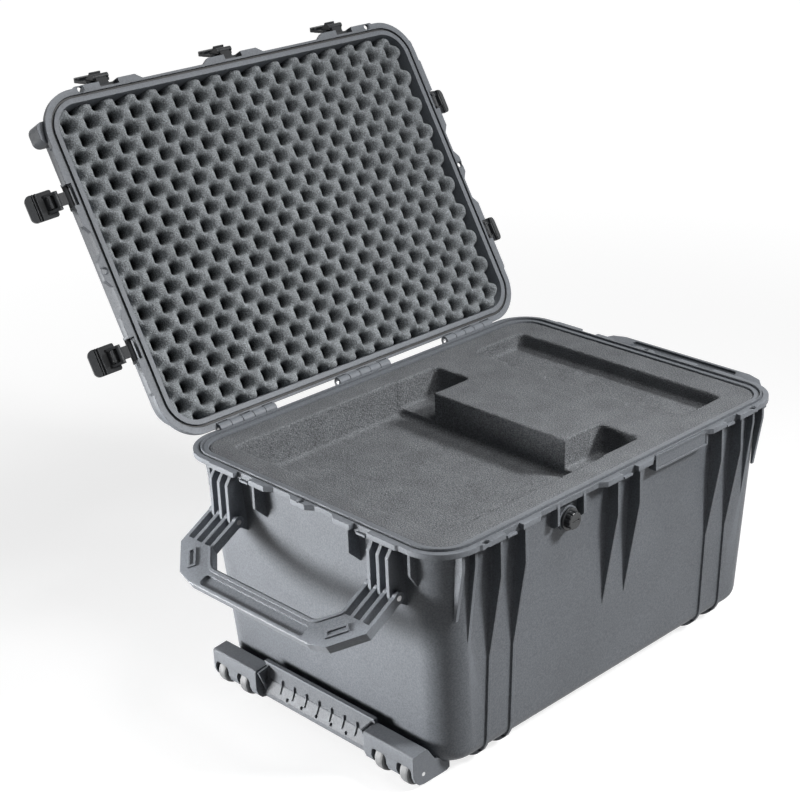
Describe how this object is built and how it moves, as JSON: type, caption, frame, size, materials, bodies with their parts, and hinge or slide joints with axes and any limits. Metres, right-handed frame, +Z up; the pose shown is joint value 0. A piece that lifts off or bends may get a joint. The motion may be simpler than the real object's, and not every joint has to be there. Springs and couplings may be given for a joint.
{
  "type": "wheeled transport case",
  "caption": "Large deep transport case, lid hinged open, draw latches round the rim, folding carry handles, wheels at one bottom edge and fitted foam inside.",
  "frame": {"origin": "middle of the tub's plan, on the ground plane under the skid rails", "axes": "+Z up; +Y from the latched front to the hinge; +X from the wheel end to the pull end"},
  "size_m": [0.967, 0.9008, 0.8582],
  "materials": {
    "case_plastic": "moulded polypropylene, fine texture",
    "foam": "open-cell polyurethane foam",
    "lid_foam": "convoluted polyurethane foam",
    "latch_plastic": "moulded nylon, satin",
    "handle_plastic": "moulded nylon, satin",
    "seal_rubber": "matte sponge rubber",
    "steel": "plain turned",
    "tyre_rubber": "light grey solid tyre",
    "hub_plastic": "moulded nylon",
    "valve_plastic": "moulded nylon",
    "carriage_plastic": "moulded polypropylene, fine texture"
  },
  "bodies": {
    "base": {"base_shell": "case_plastic", "foam_insert": "foam", "foam_block": "foam", "hinge_pins": "steel", "handle_pins": "steel", "valve_body": "valve_plastic", "valve_nut": "valve_plastic", "wheel_carriage": "carriage_plastic", "wheel_axles": "steel", "axle_spacers": "hub_plastic"},
    "lid": {"lid_shell": "case_plastic", "lid_seal": "seal_rubber", "lid_foam": "lid_foam", "latch_pins": "steel"},
    "handle_wheel_end": {"carry_handle_wheel_end": "handle_plastic"},
    "handle_pull_end": {"carry_handle_pull_end": "handle_plastic"},
    "valve_knob": {"valve_knob": "valve_plastic"},
    "latch_link_1": {"latch_link_1": "latch_plastic"},
    "latch_lever_1": {"latch_lever_1": "latch_plastic"},
    "latch_link_2": {"latch_link_2": "latch_plastic"},
    "latch_lever_2": {"latch_lever_2": "latch_plastic"},
    "latch_link_3": {"latch_link_3": "latch_plastic"},
    "latch_lever_3": {"latch_lever_3": "latch_plastic"},
    "latch_link_4": {"latch_link_4": "latch_plastic"},
    "latch_lever_4": {"latch_lever_4": "latch_plastic"},
    "latch_link_5": {"latch_link_5": "latch_plastic"},
    "latch_lever_5": {"latch_lever_5": "latch_plastic"},
    "latch_link_6": {"latch_link_6": "latch_plastic"},
    "latch_lever_6": {"latch_lever_6": "latch_plastic"},
    "latch_link_7": {"latch_link_7": "latch_plastic"},
    "latch_lever_7": {"latch_lever_7": "latch_plastic"},
    "wheel_1": {"wheel_tyre_1": "tyre_rubber", "wheel_hub_1": "hub_plastic", "wheel_bearings_1": "steel"},
    "wheel_2": {"wheel_tyre_2": "tyre_rubber", "wheel_hub_2": "hub_plastic", "wheel_bearings_2": "steel"},
    "wheel_3": {"wheel_tyre_3": "tyre_rubber", "wheel_hub_3": "hub_plastic", "wheel_bearings_3": "steel"},
    "wheel_4": {"wheel_tyre_4": "tyre_rubber", "wheel_hub_4": "hub_plastic", "wheel_bearings_4": "steel"}
  },
  "joints": [
    {"name": "lid_hinge", "type": "hinge", "parent": "base", "child": "lid", "pos_m": [0, 0.277, 0.37], "axis": [1, 0, 0], "range_deg": [0, 120]},
    {"name": "latch_1_link", "type": "hinge", "parent": "lid", "child": "latch_link_1", "pos_m": [-0.24, 0.56524, 0.83925], "axis": [1, 0, 0], "range_deg": [0, 95]},
    {"name": "latch_1_lever", "type": "hinge", "parent": "latch_link_1", "child": "latch_lever_1", "pos_m": [-0.24, 0.57761, 0.85256], "axis": [1, 0, 0], "range_deg": [0, 60]},
    {"name": "latch_2_link", "type": "hinge", "parent": "lid", "child": "latch_link_2", "pos_m": [0, 0.56524, 0.83925], "axis": [1, 0, 0], "range_deg": [0, 95]},
    {"name": "latch_2_lever", "type": "hinge", "parent": "latch_link_2", "child": "latch_lever_2", "pos_m": [0, 0.57761, 0.85256], "axis": [1, 0, 0], "range_deg": [0, 60]},
    {"name": "latch_3_link", "type": "hinge", "parent": "lid", "child": "latch_link_3", "pos_m": [0.24, 0.56524, 0.83925], "axis": [1, 0, 0], "range_deg": [0, 95]},
    {"name": "latch_3_lever", "type": "hinge", "parent": "latch_link_3", "child": "latch_lever_3", "pos_m": [0.24, 0.57761, 0.85256], "axis": [1, 0, 0], "range_deg": [0, 60]},
    {"name": "latch_4_link", "type": "hinge", "parent": "lid", "child": "latch_link_4", "pos_m": [-0.373, 0.36749, 0.49673], "axis": [0, 0.5, 0.866], "range_deg": [0, 95]},
    {"name": "latch_4_lever", "type": "hinge", "parent": "latch_link_4", "child": "latch_lever_4", "pos_m": [-0.39071, 0.37101, 0.4947], "axis": [0, 0.5, 0.866], "range_deg": [-45, 15]},
    {"name": "latch_5_link", "type": "hinge", "parent": "lid", "child": "latch_link_5", "pos_m": [-0.373, 0.48949, 0.70804], "axis": [0, 0.5, 0.866], "range_deg": [0, 95]},
    {"name": "latch_5_lever", "type": "hinge", "parent": "latch_link_5", "child": "latch_lever_5", "pos_m": [-0.39071, 0.49301, 0.70601], "axis": [0, 0.5, 0.866], "range_deg": [-45, 15]},
    {"name": "latch_6_link", "type": "hinge", "parent": "lid", "child": "latch_link_6", "pos_m": [0.373, 0.48949, 0.70804], "axis": [0, -0.5, -0.866], "range_deg": [0, 95]},
    {"name": "latch_6_lever", "type": "hinge", "parent": "latch_link_6", "child": "latch_lever_6", "pos_m": [0.39071, 0.49301, 0.70601], "axis": [0, -0.5, -0.866], "range_deg": [-45, 15]},
    {"name": "latch_7_link", "type": "hinge", "parent": "lid", "child": "latch_link_7", "pos_m": [0.373, 0.36749, 0.49673], "axis": [0, -0.5, -0.866], "range_deg": [0, 95]},
    {"name": "latch_7_lever", "type": "hinge", "parent": "latch_link_7", "child": "latch_lever_7", "pos_m": [0.39071, 0.37101, 0.4947], "axis": [0, -0.5, -0.866], "range_deg": [-45, 15]},
    {"name": "handle_wheel_end_pivot", "type": "hinge", "parent": "base", "child": "handle_wheel_end", "pos_m": [-0.376, 0, 0.292], "axis": [0, -1, 0], "range_deg": [-30, 60]},
    {"name": "handle_pull_end_pivot", "type": "hinge", "parent": "base", "child": "handle_pull_end", "pos_m": [0.376, 0, 0.292], "axis": [0, 1, 0], "range_deg": [0, 104]},
    {"name": "wheel_1_spin", "type": "hinge", "parent": "base", "child": "wheel_1", "pos_m": [-0.36381, 0.147, 0.022], "axis": [0, 1, 0], "continuous": true},
    {"name": "wheel_2_spin", "type": "hinge", "parent": "base", "child": "wheel_2", "pos_m": [-0.36381, 0.197, 0.022], "axis": [0, 1, 0], "continuous": true},
    {"name": "wheel_3_spin", "type": "hinge", "parent": "base", "child": "wheel_3", "pos_m": [-0.36381, -0.147, 0.022], "axis": [0, 1, 0], "continuous": true},
    {"name": "wheel_4_spin", "type": "hinge", "parent": "base", "child": "wheel_4", "pos_m": [-0.36381, -0.197, 0.022], "axis": [0, 1, 0], "continuous": true},
    {"name": "valve_turn", "type": "hinge", "parent": "base", "child": "valve_knob", "pos_m": [-0.118, -0.2685, 0.335], "axis": [0, -1, 0], "range_deg": [0, 150]}
  ]
}
